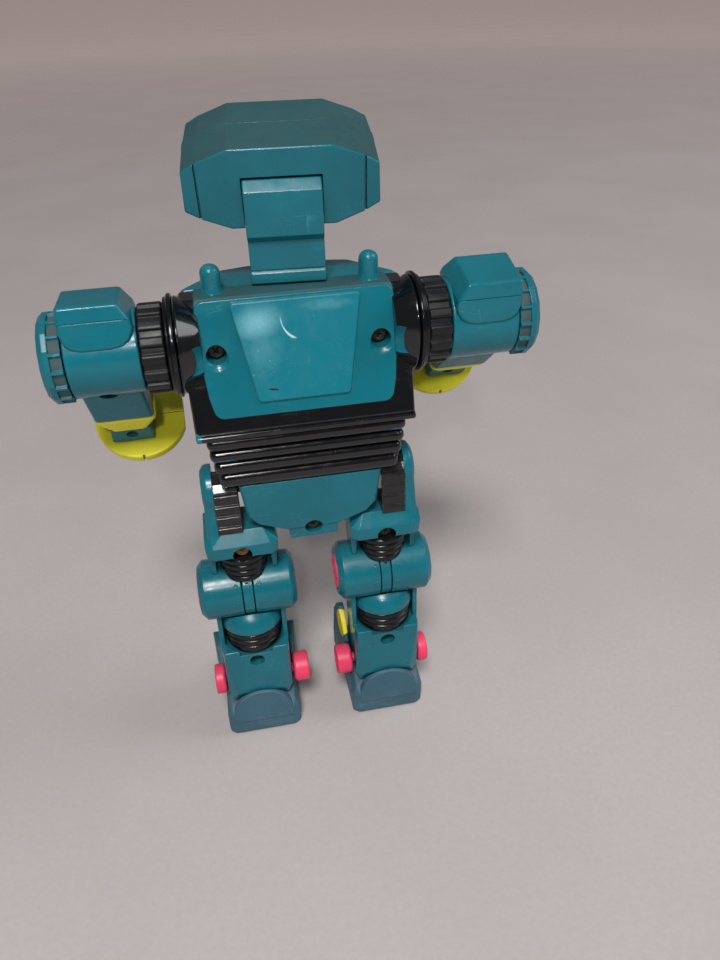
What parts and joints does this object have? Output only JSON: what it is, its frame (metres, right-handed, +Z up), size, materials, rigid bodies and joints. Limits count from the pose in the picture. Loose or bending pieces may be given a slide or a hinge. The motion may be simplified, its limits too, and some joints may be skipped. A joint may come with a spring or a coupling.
{
  "type": "toy robot",
  "caption": "Posable humanoid toy robot with an octagonal box head, ribbed waist, drum shoulders, knee barrels, ankle wheels and block boots.",
  "frame": {"origin": "on the floor, at the middle of the overall width and depth of the figure", "axes": "+Z up, front of the robot faces -Y, its left arm is on +X"},
  "size_m": [0.1228, 0.0584, 0.1876],
  "materials": {
    "teal": "glossy moulded teal plastic, lightly scuffed",
    "black_paint": "gloss black paint over teal plastic, chipped at edges",
    "black_plastic": "satin black plastic, dusty",
    "yellow": "yellow plastic with grubby edges",
    "pink": "pink-red plastic",
    "boot_plastic": "blue-green satin plastic, rubbed paler on the heel",
    "screw_steel": "dull plated steel with rust",
    "visor": "polished dark plastic"
  },
  "bodies": {
    "torso": {"torso_rear_shell": "teal", "torso_front_shell": "teal", "chest_plate": "black_paint", "chest_lens": "pink", "torso_screw_left": "screw_steel", "torso_screw_right": "screw_steel", "shoulder_collar_left": "black_paint", "shoulder_collar_right": "black_paint"},
    "neck": {"neck_bracket": "teal"},
    "head": {"head_rear_shell": "teal", "head_front_shell": "teal", "head_nod_pin": "screw_steel", "head_visor": "visor"},
    "pelvis": {"waist_bellows": "black_paint", "pelvis_rear_shell": "teal", "pelvis_front_shell": "teal", "pelvis_screw": "screw_steel", "hip_axle": "screw_steel"},
    "arm_left": {"shoulder_drum_left": "black_plastic", "arm_rear_shell_left": "teal", "arm_front_shell_left": "teal", "arm_screw_left": "screw_steel", "shoulder_dial_left": "teal", "forearm_cuff_left": "yellow"},
    "hand_left": {"wrist_block_left": "teal", "hand_guard_left": "yellow", "hand_left": "teal"},
    "thigh_left": {"thigh_rear_shell_left": "teal", "thigh_front_shell_left": "teal", "thigh_bellows_left": "black_paint", "thigh_screw_left": "screw_steel"},
    "shin_left": {"shin_rear_shell_left": "teal", "shin_front_shell_left": "teal", "shin_bellows_left": "black_paint", "shin_screw_left": "screw_steel", "knee_pin_left": "pink"},
    "ankle_axle_left": {"ankle_wheels_left": "pink"},
    "foot_left": {"boot_left": "boot_plastic"},
    "arm_right": {"shoulder_drum_right": "black_plastic", "arm_rear_shell_right": "teal", "arm_front_shell_right": "teal", "arm_screw_right": "screw_steel", "shoulder_dial_right": "teal", "forearm_cuff_right": "yellow"},
    "hand_right": {"wrist_block_right": "teal", "hand_guard_right": "yellow", "hand_right": "teal"},
    "thigh_right": {"thigh_rear_shell_right": "teal", "thigh_front_shell_right": "teal", "thigh_bellows_right": "black_paint", "thigh_screw_right": "screw_steel"},
    "shin_right": {"shin_rear_shell_right": "teal", "shin_front_shell_right": "teal", "shin_bellows_right": "black_paint", "shin_screw_right": "screw_steel", "knee_pin_right": "pink"},
    "ankle_axle_right": {"ankle_wheels_right": "pink"},
    "foot_right": {"boot_right": "boot_plastic"}
  },
  "joints": [
    {"name": "neck_turn", "type": "hinge", "parent": "torso", "child": "neck", "pos_m": [0, 0.00756, 0.1474], "axis": [0, 0, 1], "range_deg": [-80, 80]},
    {"name": "head_nod", "type": "hinge", "parent": "neck", "child": "head", "pos_m": [-0.00003, 0.00726, 0.1695], "axis": [0.9962, -0.0872, 0], "range_deg": [-5, 5], "stiffness_Nm_per_rad": 0.05},
    {"name": "waist_turn", "type": "hinge", "parent": "torso", "child": "pelvis", "pos_m": [0, 0.01656, 0.1156], "axis": [0, 0, 1], "range_deg": [-20, 20]},
    {"name": "shoulder_left", "type": "hinge", "parent": "torso", "child": "arm_left", "pos_m": [0.033, 0.01646, 0.1378], "axis": [1, 0, 0], "continuous": true},
    {"name": "wrist_left", "type": "hinge", "parent": "arm_left", "child": "hand_left", "pos_m": [0.047, -0.00059, 0.11434], "axis": [0, -0.5878, -0.809], "continuous": true},
    {"name": "hip_left", "type": "hinge", "parent": "pelvis", "child": "thigh_left", "pos_m": [0.021, 0.01706, 0.095], "axis": [-1, 0, 0], "range_deg": [0, 60], "stiffness_Nm_per_rad": 0.6},
    {"name": "knee_left", "type": "hinge", "parent": "thigh_left", "child": "shin_left", "pos_m": [0.021, 0.01565, 0.0576], "axis": [1, 0, 0], "range_deg": [0, 60], "stiffness_Nm_per_rad": 0.6},
    {"name": "ankle_axle_left", "type": "hinge", "parent": "shin_left", "child": "ankle_axle_left", "pos_m": [0.021, 0.01785, 0.0212], "axis": [1, 0, 0], "continuous": true},
    {"name": "ankle_left", "type": "hinge", "parent": "shin_left", "child": "foot_left", "pos_m": [0.021, 0.01785, 0.0212], "axis": [1, 0, 0], "range_deg": [-4, 4], "stiffness_Nm_per_rad": 0.6},
    {"name": "shoulder_right", "type": "hinge", "parent": "torso", "child": "arm_right", "pos_m": [-0.033, 0.01646, 0.1378], "axis": [1, 0, 0], "continuous": true},
    {"name": "wrist_right", "type": "hinge", "parent": "arm_right", "child": "hand_right", "pos_m": [-0.047, -0.0064, 0.11995], "axis": [0, -0.788, -0.6157], "continuous": true},
    {"name": "hip_right", "type": "hinge", "parent": "pelvis", "child": "thigh_right", "pos_m": [-0.021, 0.01706, 0.095], "axis": [-1, 0, 0], "range_deg": [0, 60], "stiffness_Nm_per_rad": 0.6},
    {"name": "knee_right", "type": "hinge", "parent": "thigh_right", "child": "shin_right", "pos_m": [-0.021, 0.01565, 0.0576], "axis": [1, 0, 0], "range_deg": [0, 60], "stiffness_Nm_per_rad": 0.6},
    {"name": "ankle_axle_right", "type": "hinge", "parent": "shin_right", "child": "ankle_axle_right", "pos_m": [-0.021, 0.01785, 0.0212], "axis": [1, 0, 0], "continuous": true},
    {"name": "ankle_right", "type": "hinge", "parent": "shin_right", "child": "foot_right", "pos_m": [-0.021, 0.01785, 0.0212], "axis": [1, 0, 0], "range_deg": [-4, 4], "stiffness_Nm_per_rad": 0.6}
  ]
}
